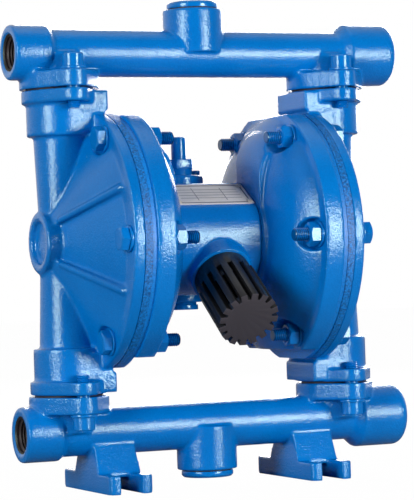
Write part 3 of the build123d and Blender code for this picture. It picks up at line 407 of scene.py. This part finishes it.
def new_piece(name, mesh_source, material, body, slot, stands_for=()):
    """Makes an object from a bmesh, with its finish and, if it rides on one, its body; the slot is
    not used.
    """
    mesh = bpy.data.meshes.new(name)
    mesh_source.to_mesh(mesh)
    mesh_source.free()
    piece = bpy.data.objects.new(name, mesh)
    bpy.context.collection.objects.link(piece)
    only_material(piece, material)
    if body:
        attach(piece, body)
    if stands_for:
        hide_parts(*stands_for)
    return piece


def merged_copy(name):
    """A CAD node's mesh as a bmesh, with its loose triangles joined."""
    shape = bmesh.new()
    shape.from_mesh(nodes[name].data)
    bmesh.ops.remove_doubles(shape, verts=shape.verts, dist=1e-6)
    return shape


def applied(piece):
    """Turns a piece's modifiers into its mesh."""
    graph = bpy.context.evaluated_depsgraph_get()
    mesh = bpy.data.meshes.new_from_object(piece.evaluated_get(graph))
    piece.modifiers.clear()
    piece.data = mesh


def cast(name, material, voxel, rounds, beads=()):
    """Stands for a casting's node: the same solid with its edges and corners rounded."""
    solid = merged_copy(name)
    if beads:
        solid = gathered([(solid, Matrix.Identity(4)), *beads])
    piece = new_piece(f"{name}_cast", solid, material, body_of(name), slot_of(name), (name,))
    remesh = piece.modifiers.new("grain", "REMESH")
    remesh.mode = "VOXEL"
    remesh.voxel_size = voxel * 1.0
    smooth = piece.modifiers.new("rounding", "SMOOTH")
    smooth.factor = 0.5
    smooth.iterations = rounds
    applied(piece)
    only_material(piece, material)
    for face in piece.data.polygons:
        face.use_smooth = True


def eased(name, material, width):
    """Stands for a machined or moulded node: the same solid with its sharp edges broken."""
    shape = merged_copy(name)
    bmesh.ops.dissolve_limit(
        shape, angle_limit=radians(0.5), verts=shape.verts, edges=shape.edges
    )
    piece = new_piece(f"{name}_eased", shape, material, body_of(name), slot_of(name), (name,))
    bevel = piece.modifiers.new("edges", "BEVEL")
    bevel.width = width * MM
    bevel.segments = 2
    bevel.limit_method = "ANGLE"
    bevel.angle_limit = radians(40)
    bevel.use_clamp_overlap = True
    applied(piece)
    only_material(piece, material)
    soften(piece)


def outward(angle):
    """The direction away from the shaft's axis, at an angle in degrees from the back."""
    return Vector((0, cos(radians(angle)), sin(radians(angle))))


def flexing(name, material):
    """A diaphragm as four sectors, each cut along planes through the shaft's axis and closed where
    it is cut.
    """
    centre = Vector((0, 0, SHAFT_HEIGHT))
    for place, angle in SECTORS.items():
        sector = merged_copy(name)
        for turn in (SECTOR_HALF, -SECTOR_HALF):
            bmesh.ops.bisect_plane(
                sector, geom=[*sector.verts, *sector.edges, *sector.faces], dist=1e-7,
                plane_co=centre, plane_no=outward(angle + turn), clear_inner=True,
            )
            rim = [edge for edge in sector.edges if edge.is_boundary]
            bmesh.ops.holes_fill(sector, edges=rim, sides=0)
        piece = new_piece(f"{name}_{place}", sector, material, None, slot_of(name), (name,))
        soften(piece, 28)
        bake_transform(piece)


def squeezed(name, material):
    """A coil spring, with its own copy of the mesh."""
    piece = new_piece(
        f"{name}_coil", merged_copy(name), material, body_of(name), slot_of(name), (name,)
    )
    soften(piece, 50)
    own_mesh(piece)


def soften(piece, angle=38):
    """Smooth shading with sharp edges kept."""
    for face in piece.data.polygons:
        face.use_smooth = True
    piece.data.set_sharp_from_angle(angle=radians(angle))


def reach(angle):
    """How much further a hexagon reaches at an angle than across its flats."""
    return 1 / cos((angle + pi / 6) % (pi / 3) - pi / 6)


def turned(rings, hollow=False):
    """A solid about Z from rings of radius and height, in mm.

    A third number makes a ring a hexagon of that half width across flats, whose
    corners lie lower by that slope. A hollow one closes on its first ring.
    """
    shape = bmesh.new()
    loops = []
    for radius, height, *slope in rings:
        capped = not hollow and (len(loops) in (0, len(rings) - 1))
        verts = bmesh.ops.create_circle(
            shape, segments=48, radius=radius * MM, cap_ends=capped
        )["verts"]
        for vert in verts:
            further = reach(atan2(vert.co.y, vert.co.x)) if slope else 1
            drop = slope[0] * radius * (further - 1) if slope else 0
            vert.co = (vert.co.x * further, vert.co.y * further, (height - drop) * MM)
        ring = set(verts)
        loops.append([e for e in shape.edges if e.verts[0] in ring and e.verts[1] in ring])
    pairs = list(zip(loops, loops[1:]))
    if hollow:
        pairs.append((loops[-1], loops[0]))
    for first, second in pairs:
        bmesh.ops.bridge_loops(shape, edges=first + second)
    bmesh.ops.recalc_face_normals(shape, faces=shape.faces)
    return shape


def thread(start, end, outer, pitch, depth):
    """Rings of a screw thread between two heights."""
    rings = []
    height = start
    while height < end:
        rings += [(outer - depth, height), (outer, height + pitch / 2)]
        height += pitch
    return rings


def gathered(shapes):
    """One bmesh from several, each with its own place; all but the result are freed."""
    whole = bmesh.new()
    for shape, place in shapes:
        shape.transform(place)
        mesh = bpy.data.meshes.new("gathered")
        shape.to_mesh(mesh)
        shape.free()
        whole.from_mesh(mesh)
        bpy.data.meshes.remove(mesh)
    return whole


def bead(start, end, start_r, end_r):
    """A round bead between two points, with a ball on its outer end, all in mm."""
    start, end = Vector(start) * MM, Vector(end) * MM
    along = end - start
    rod = bmesh.new()
    bmesh.ops.create_cone(
        rod, cap_ends=True, segments=20, radius1=start_r * MM, radius2=end_r * MM,
        depth=along.length,
    )
    ball = bmesh.new()
    bmesh.ops.create_uvsphere(ball, u_segments=20, v_segments=12, radius=end_r * MM)
    turn = along.to_track_quat("Z", "Y").to_matrix().to_4x4()
    return [
        (rod, Matrix.Translation((start + end) / 2) @ turn), (ball, Matrix.Translation(end)),
    ]


def panel_beads(way):
    """Beads along the edges of a cover's sunk panels, front and back."""
    beads = []
    for front in (-1, 1):
        for up in (-1, 1):
            start, end = (
                (way * x, front * y, up * rise + SHAFT_HEIGHT / MM)
                for x, y, rise, _ in (BEAD_IN, BEAD_OUT)
            )
            beads += bead(start, end, BEAD_IN[3], BEAD_OUT[3])
    return beads


def facing(side, turn, angle):
    """The place of a cover fastener, pointing away from the middle, on the bolt circle."""
    y = BOLT_CIRCLE_R * cos(radians(angle)) * MM
    z = BOLT_CIRCLE_R * sin(radians(angle)) * MM + SHAFT_HEIGHT
    way = SIDES[side]
    axes = Matrix(((0, 0, way, 0), (way, 0, 0, y), (0, 1, 0, z), (0, 0, 0, 1)))
    return axes @ Matrix.Rotation(radians(turn), 4, "Z")


def slot_of(name):
    """The material slot that the record gives a node."""
    for subpart in frame["record"]["subparts"]:
        if subpart["node"] == name:
            return subpart["material_slot"]
    raise ValueError(name)


def body_of(name):
    """The body that a node belongs to."""
    for body, members in frame["record"]["behaviour"]["bodies"].items():
        if name in members:
            return body
    raise ValueError(name)


class PumpLook(bpy.types.PropertyGroup):
    """Sizes and colours of the pump's finish."""

    enamel_deep: bpy.props.FloatVectorProperty(
        name="Deep enamel", description="Enamel where it is thick or in shade", subtype="COLOR",
        size=4, min=0.0, max=1.0, default=(0.0, 0.12, 0.43, 1.0),
    )
    enamel_light: bpy.props.FloatVectorProperty(
        name="Light enamel", description="Enamel where it is thin", subtype="COLOR",
        size=4, min=0.0, max=1.0, default=(0.0, 0.225, 0.7, 1.0),
    )
    bare_iron: bpy.props.FloatVectorProperty(
        name="Bare iron", description="Cast iron inside the ports", subtype="COLOR",
        size=4, min=0.0, max=1.0, default=(0.022, 0.016, 0.018, 1.0),
    )
    casting_grain: bpy.props.FloatProperty(
        name="Casting grain", description="Cell size at which castings are rounded",
        default=0.00085, min=0.0005, max=0.004, unit="LENGTH",
    )
    casting_rounds: bpy.props.IntProperty(
        name="Casting rounds", description="Times that a casting's corners are smoothed",
        default=3, min=0, max=20,
    )
    edge_break: bpy.props.FloatProperty(
        name="Edge break", description="Width of the broken edges of machined pieces, in mm",
        default=0.3, min=0.05, max=1.0,
    )


class PUMP_OT_castings(bpy.types.Operator):
    """Rounds and paints the castings"""

    bl_idname = "pump.castings"
    bl_label = "Castings"

    def execute(self, context):
        paint = enamel("cast_enamel")
        bored = enamel("manifold_enamel", bores=True)
        look = sizes()
        for name in ("outlet_manifold", "inlet_manifold"):
            cast(name, bored, MANIFOLD_GRAIN * look.casting_grain, look.casting_rounds)
        for name in ("centre_body", "valve_body"):
            cast(name, paint, look.casting_grain, look.casting_rounds)
        for side, way in SIDES.items():
            cast(
                f"{side}_outer_cover", paint, OUTER_COVER_GRAIN * look.casting_grain,
                look.casting_rounds, panel_beads(way),
            )
            cast(
                f"{side}_inner_cover", paint, look.casting_grain,
                INNER_COVER_ROUNDS * look.casting_rounds,
            )
        return {"FINISHED"}


class PUMP_OT_plain_pieces(bpy.types.Operator):
    """Gives the small and inner pieces their finishes"""

    bl_idname = "pump.plain_pieces"
    bl_label = "Small and inner pieces"

    def execute(self, context):
        paint = enamel("part_enamel", 0.5)
        rubber = plain("black_rubber", (0.012, 0.012, 0.014), 0.6)
        steel = plain("ground_steel", (0.42, 0.42, 0.43), 0.3, 1.0)
        alloy = plain("turned_aluminium", (0.6, 0.6, 0.61), 0.35, 1.0)
        bronze = plain("turned_bronze", (0.5, 0.3, 0.12), 0.35, 1.0)
        white = plain("white_ball", (0.7, 0.7, 0.67), 0.35)
        black = plain("moulded_black", (0.012, 0.012, 0.013), 0.42, grain=700.0)
        finishes = {
            "blue_castings": paint, "blue_fasteners": paint, "diaphragm_rubber": rubber,
            "seals": rubber, "balls": white, "seats": steel, "steel": steel,
            "aluminium_parts": alloy, "bronze": bronze, "muffler_plastic": black,
        }
        for subpart in frame["record"]["subparts"]:
            dress(subpart["node"], finishes[subpart["material_slot"]])
        dress("inner_cover_gaskets", paint)
        smooth_edge = painted_edge("backup_edge", 0.9, 0.0002)
        rough_edge = painted_edge("diaphragm_edge", 0.5, 0.0005)
        for side in SIDES:
            flexing(f"{side}_backup_diaphragm", smooth_edge)
            flexing(f"{side}_diaphragm", rough_edge)
        squeezed("button_spring", steel)
        return {"FINISHED"}


class PUMP_OT_cover_fasteners(bpy.types.Operator):
    """Makes the covers' hexagon bolts with threaded tips, their nuts and washers"""

    bl_idname = "pump.cover_fasteners"
    bl_label = "Cover fasteners"

    def execute(self, context):
        paint = enamel("bolt_enamel", 0.45, tips=True)
        head_turns = {0: 8, 60: 21, 120: 4, 180: 30, 240: -6, 300: 17}
        nut_turns = {0: 24, 60: 11, 120: 27, 180: 2, 240: 19, 300: 7}
        for side in SIDES:
            bolts = [
                (turned(self.bolt_rings()), facing(side, turn, angle))
                for angle, turn in head_turns.items()
            ]
            nuts = [
                (turned(self.nut_rings(), hollow=True), facing(side, turn, angle))
                for angle, turn in nut_turns.items()
            ]
            for kind, shapes in (("bolts", bolts), ("nuts", nuts)):
                node = f"{side}_cover_{kind}"
                piece = new_piece(
                    f"{node}_cut", gathered(shapes), paint, "pump", slot_of(node), (node,)
                )
                soften(piece, 28)
            eased(f"{side}_cover_washers", paint, sizes().edge_break)
        return {"FINISHED"}

    def bolt_rings(self):
        """An M8 bolt: tip, thread, shank, washer face and chamfered head."""
        grooves = thread(BOLT_THREAD_START, BOLT_THREAD_END, M8_R, THREAD_PITCH, THREAD_DEPTH)
        return [
            (3.2, 31.1), (3.6, 31.5), *grooves, (M8_R, 41.0), (M8_R, 76.1), (5.9, 76.1),
            (5.9, 76.5), (6.5, 76.5, 0.0), (6.5, 81.2, HEX_SLOPE), (5.8, 81.6),
        ]

    def nut_rings(self):
        """An M8 nut, chamfered on both faces and countersunk at its bore."""
        return [
            (4.8, 40.0), (5.9, 40.0), (6.5, 40.4, -HEX_SLOPE), (6.5, 46.4, HEX_SLOPE),
            (5.9, 46.8), (4.8, 46.8), (4.1, 46.1), (4.1, 40.7),
        ]


class PUMP_OT_manifold_fasteners(bpy.types.Operator):
    """Makes the manifold joints' socket-head screws, with their tips below the ears"""

    bl_idname = "pump.manifold_fasteners"
    bl_label = "Manifold fasteners"

    def execute(self, context):
        paint = enamel("screw_enamel", 0.45)
        screws = []
        for side, way in SIDES.items():
            for up, tip in ((0, 14), (180, 40)):
                for y in (-EAR_Y, EAR_Y):
                    place = Matrix.Translation((way * COLUMN_X * MM, y * MM, SHAFT_HEIGHT))
                    place = place @ Matrix.Rotation(radians(up), 4, "X")
                    place = place @ Matrix.Rotation(radians(tip + y), 4, "Z")
                    screws.append((turned(self.screw_rings()), place))
        piece = new_piece(
            "manifold_bolts_cut", gathered(screws), paint, "pump", slot_of("manifold_bolts"),
            ("manifold_bolts",),
        )
        soften(piece, 28)
        eased("manifold_washers", paint, sizes().edge_break)
        return {"FINISHED"}

    def screw_rings(self):
        """An M8 screw: tip, thread, shank and a head with a hexagon socket."""
        grooves = thread(SCREW_THREAD_START, SCREW_THREAD_END, M8_R, THREAD_PITCH, THREAD_DEPTH)
        return [
            (3.2, 79.6), (3.6, 80.0), *grooves, (M8_R, 87.0), (M8_R, 104.6), (6.3, 104.6),
            (6.5, 104.8), (6.5, 111.9), (5.9, 112.6), (3.0, 112.6, 0.0), (3.0, 108.6, 0.0),
        ]


class PUMP_OT_port_threads(bpy.types.Operator):
    """Cuts pipe threads into the mouths of the two ports"""

    bl_idname = "pump.port_threads"
    bl_label = "Port threads"

    def execute(self, context):
        finish = plain("port_iron", tuple(sizes().bare_iron)[:3], 0.35, grain=500.0)
        start, end = PORT_X - PIPE_INNER_END, PORT_X - PIPE_OUTER_END
        grooves = thread(start, end - 1.9, PIPE_GROOVE_R, PIPE_PITCH, PIPE_DEPTH)
        rings = [
            (PIPE_SLEEVE_R, end), (PIPE_SLEEVE_R, start), (9.3, start - 0.1), *grooves, (10.2, end),
        ]
        shapes = []
        for up in (1, -1):
            centre = Matrix.Translation((0, 0, SHAFT_HEIGHT + up * MANIFOLD_RISE * MM))
            shapes.append((turned(rings, hollow=True), centre @ Matrix.Rotation(-pi / 2, 4, "Y")))
        piece = new_piece("port_threads", gathered(shapes), finish, "pump", "blue_castings")
        soften(piece, 28)
        return {"FINISHED"}


class PUMP_OT_fittings(bpy.types.Operator):
    """Breaks the edges of the plugs, valve caps, button, muffler, label and small screws"""

    bl_idname = "pump.fittings"
    bl_label = "Fittings"

    def execute(self, context):
        paint = enamel("fitting_enamel", 0.45)
        edge = sizes().edge_break
        plate = plain("rivet_metal", (0.52, 0.47, 0.4), 0.35)
        for name, finish, width in (
            ("outlet_plug", paint, edge), ("inlet_plug", paint, edge),
            ("valve_top_cap", paint, 1.2 * edge), ("valve_bottom_cap", paint, edge),
            ("reset_button", paint, edge), ("cap_screws", paint, 0.5 * edge),
            ("valve_screws", paint, edge), ("muffler", muffler_finish(), 1.2 * edge),
            ("label_rivets", plate, 0.8 * edge), ("label_plate", label_finish(), 0.4 * edge),
        ):
            eased(name, finish, width)
        return {"FINISHED"}


class PUMP_OT_stage(bpy.types.Operator):
    """Sets the floor, the lights and the camera"""

    bl_idname = "pump.stage"
    bl_label = "Stage"

    def execute(self, context):
        self.light_world(context)
        self.lay_floor()
        self.add_lights(context)
        self.place_camera(context)
        context.scene.view_settings.view_transform = "Standard"
        return {"FINISHED"}

    def light_world(self, context):
        """White to the camera, and in reflections white behind the pump and dim before it."""
        world = bpy.data.worlds.new("studio")
        world.use_nodes = True
        context.scene.world = world
        tree = world.node_tree
        tree.nodes.clear()
        output = tree.nodes.new("ShaderNodeOutputWorld")
        path = tree.nodes.new("ShaderNodeLightPath")
        place = tree.nodes.new("ShaderNodeTexCoord")
        parts = tree.nodes.new("ShaderNodeSeparateXYZ")
        tree.links.new(place.outputs["Generated"], parts.inputs[0])
        behind = (Value(tree, parts.outputs[1]) * 0.9 + 0.35).clamped()
        looked, passed, mirrored = (
            Value(tree, path.outputs[f"Is {kind} Ray"])
            for kind in ("Camera", "Transmission", "Glossy")
        )
        soft = mirrored * (behind * 0.85 + 0.03) + (1 - mirrored) * 0.05
        seen = (looked + passed).clamped()
        strength = seen + (1 - seen) * soft
        background = tree.nodes.new("ShaderNodeBackground")
        background.inputs["Color"].default_value = grey(1.0)
        tree.links.new(strength.socket, background.inputs["Strength"])
        tree.links.new(background.outputs[0], output.inputs["Surface"])

    def lay_floor(self):
        """A white floor that keeps a faint shadow."""
        finish = Finish("floor_white")
        finish.set(Base_Color=grey(0.2), Roughness=0.9, Specular_IOR_Level=0.2)
        tree = finish.tree
        glow = tree.nodes.new("ShaderNodeEmission")
        glow.inputs["Color"].default_value = grey(1.0)
        glow.inputs["Strength"].default_value = 1.02
        mixed = tree.nodes.new("ShaderNodeMixShader")
        path = tree.nodes.new("ShaderNodeLightPath")
        share = Value(tree, path.outputs["Is Camera Ray"]) * 0.97
        tree.links.new(share.socket, mixed.inputs[0])
        tree.links.new(finish.shader.outputs[0], mixed.inputs[1])
        tree.links.new(glow.outputs[0], mixed.inputs[2])
        tree.links.new(mixed.outputs[0], tree.nodes["Material Output"].inputs["Surface"])
        sheet = bmesh.new()
        bmesh.ops.create_grid(sheet, x_segments=1, y_segments=1, size=6.0)
        mesh = bpy.data.meshes.new("floor")
        sheet.to_mesh(mesh)
        sheet.free()
        floor = bpy.data.objects.new("floor", mesh)
        bpy.context.collection.objects.link(floor)
        only_material(floor, finish.material)

    def add_lights(self, context):
        """Softboxes either side of the camera and behind the pump, and a soft light from above."""
        for name, (place, width, height, power) in LAMPS.items():
            lamp = bpy.data.lights.new(name, "AREA")
            lamp.shape = "RECTANGLE"
            lamp.size = width
            lamp.size_y = height
            lamp.energy = power
            light = bpy.data.objects.new(name, lamp)
            light.location = place
            aim = Vector((0.0, 0.0, PUMP_MIDDLE)) - Vector(place)
            light.rotation_euler = aim.to_track_quat("-Z", "Y").to_euler()
            context.collection.objects.link(light)

    def place_camera(self, context):
        """The photograph's viewpoint: to the left of the front, level, turned a little."""
        turn, pitch, roll = (radians(angle) for angle in (CAMERA_TURN, CAMERA_PITCH, CAMERA_ROLL))
        right = Vector((cos(turn), -sin(turn), 0.0))
        forward = Vector((sin(turn) * cos(pitch), cos(turn) * cos(pitch), sin(pitch)))
        up = right.cross(forward)
        across = right * cos(roll) - up * sin(roll)
        upward = right * sin(roll) + up * cos(roll)
        lens = bpy.data.cameras.new("photo_camera")
        lens.lens = CAMERA_LENS
        lens.sensor_width = 36.0
        lens.clip_end = 20.0
        camera = bpy.data.objects.new("photo_camera", lens)
        x, y, rise = CAMERA_PLACE
        camera.matrix_world = Matrix((
            (across.x, upward.x, -forward.x, x),
            (across.y, upward.y, -forward.y, y),
            (across.z, upward.z, -forward.z, rise + SHAFT_HEIGHT),
            (0.0, 0.0, 0.0, 1.0),
        ))
        context.collection.objects.link(camera)
        context.scene.camera = camera


class PUMP_PT_panel(bpy.types.Panel):
    """Lists the pump's pieces and their sizes"""

    bl_idname = "PUMP_PT_panel"
    bl_label = "Diaphragm pump"
    bl_space_type = "VIEW_3D"
    bl_region_type = "UI"
    bl_category = "Pump"

    def draw(self, context):
        look = context.scene.pump_look
        for name in PumpLook.__annotations__:
            self.layout.prop(look, name)
        for operator in OPERATORS:
            self.layout.operator(operator.bl_idname)


OPERATORS = (
    PUMP_OT_plain_pieces, PUMP_OT_castings, PUMP_OT_cover_fasteners, PUMP_OT_manifold_fasteners,
    PUMP_OT_port_threads, PUMP_OT_fittings, PUMP_OT_stage,
)
CLASSES = (PumpLook, *OPERATORS, PUMP_PT_panel)


def register():
    """Registers the classes and the panel's settings."""
    for one in CLASSES:
        bpy.utils.register_class(one)
    bpy.types.Scene.pump_look = bpy.props.PointerProperty(type=PumpLook)


def unregister():
    """Removes the classes and the panel's settings."""
    del bpy.types.Scene.pump_look
    for one in reversed(CLASSES):
        bpy.utils.unregister_class(one)


def main():
    """Makes every piece in order."""
    register()
    bpy.ops.pump.plain_pieces()
    bpy.ops.pump.castings()
    bpy.ops.pump.cover_fasteners()
    bpy.ops.pump.manifold_fasteners()
    bpy.ops.pump.port_threads()
    bpy.ops.pump.fittings()
    bpy.ops.pump.stage()


if __name__ == "__main__":
    main()
